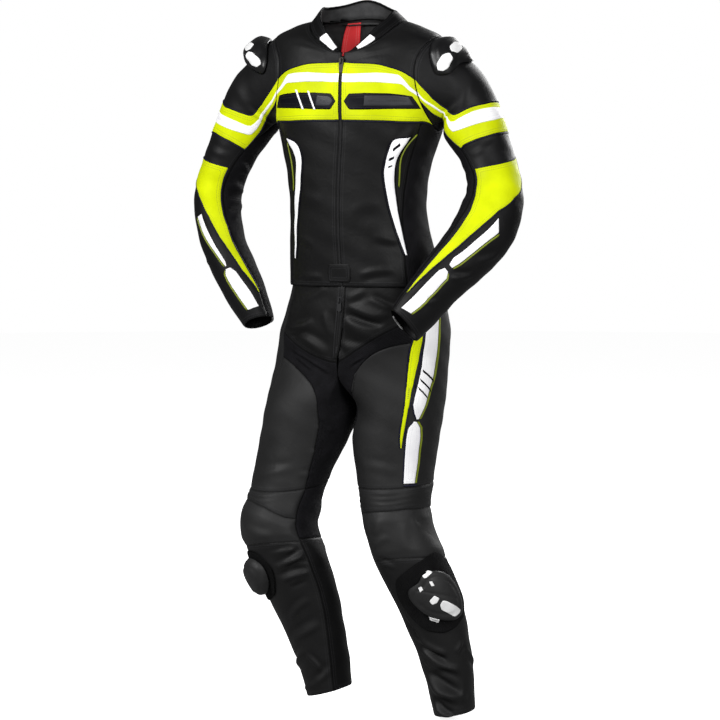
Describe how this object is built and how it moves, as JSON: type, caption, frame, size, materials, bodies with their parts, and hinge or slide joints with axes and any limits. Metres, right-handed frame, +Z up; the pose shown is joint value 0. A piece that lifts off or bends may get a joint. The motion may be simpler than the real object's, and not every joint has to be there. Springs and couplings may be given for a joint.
{
  "type": "motorcycle race suit",
  "caption": "Two-piece motorcycle race suit in black leather with bright yellow and white bands, stretch panels, hard shoulder cups and knee pucks.",
  "frame": {"origin": "middle of the neck opening at the height of the collar seam, where the wearer's neck carries the suit", "axes": "+Z up, the front of the suit faces -Y, +X is the wearer's left"},
  "size_m": [0.6985, 0.3701, 1.4362],
  "materials": {
    "black_leather": "grained cowhide, low sheen",
    "stretch": "matt ribbed stretch cloth",
    "yellow_leather": "bright yellow-green leather",
    "white_leather": "white leather",
    "label": "woven red label, bare",
    "zip_tape": "woven tape",
    "zip_metal": "dark metal",
    "plastic": "moulded, slightly glossy"
  },
  "bodies": {
    "suit": {"accordion_left": "black_leather", "accordion_right": "black_leather", "back": "black_leather", "calf_left": "black_leather", "calf_right": "black_leather", "chest_white_left": "white_leather", "chest_white_right": "white_leather", "chest_yellow_left": "yellow_leather", "chest_yellow_right": "yellow_leather", "collar": "black_leather", "collar_tab_left": "white_leather", "collar_tab_right": "white_leather", "fly_slider": "zip_metal", "fly_zip": "zip_tape", "forearm_white_left": "white_leather", "forearm_white_right": "white_leather", "forearm_yellow_left": "yellow_leather", "forearm_yellow_right": "yellow_leather", "front_left": "black_leather", "front_right": "black_leather", "jacket_slider": "zip_metal", "jacket_zip": "zip_tape", "knee_base_left": "plastic", "knee_base_right": "plastic", "knee_left": "black_leather", "knee_puck_left": "plastic", "knee_puck_right": "plastic", "knee_right": "black_leather", "neck_label": "label", "seat_left": "black_leather", "seat_right": "black_leather", "shin_left": "black_leather", "shin_right": "black_leather", "shoulder_cup_left": "plastic", "shoulder_cup_right": "plastic", "side_left": "stretch", "side_right": "stretch", "sleeve_inner_left": "stretch", "sleeve_inner_right": "stretch", "sleeve_outer_left": "black_leather", "sleeve_outer_right": "black_leather", "sleeve_white_left": "white_leather", "sleeve_white_right": "white_leather", "sleeve_yellow_left": "yellow_leather", "sleeve_yellow_right": "yellow_leather", "stretch_left": "stretch", "stretch_right": "stretch", "thigh_left": "black_leather", "thigh_right": "black_leather", "thigh_white_left": "white_leather", "thigh_white_right": "white_leather", "thigh_yellow_left": "yellow_leather", "thigh_yellow_right": "yellow_leather", "vent_left": "white_leather", "vent_right": "white_leather", "yoke_left": "black_leather", "yoke_right": "black_leather"},
    "jacket_tab": {"jacket_pull": "zip_metal"},
    "fly_tab": {"fly_pull": "plastic"}
  },
  "joints": [
    {"name": "jacket_pull_swing", "type": "hinge", "parent": "suit", "child": "jacket_tab", "pos_m": [0, -0.11371, -0.04903], "axis": [-1, 0, 0], "range_deg": [0, 100]},
    {"name": "fly_pull_swing", "type": "hinge", "parent": "suit", "child": "fly_tab", "pos_m": [-0.00774, -0.10218, -0.512], "axis": [-1, 0, 0], "range_deg": [0, 100]}
  ]
}
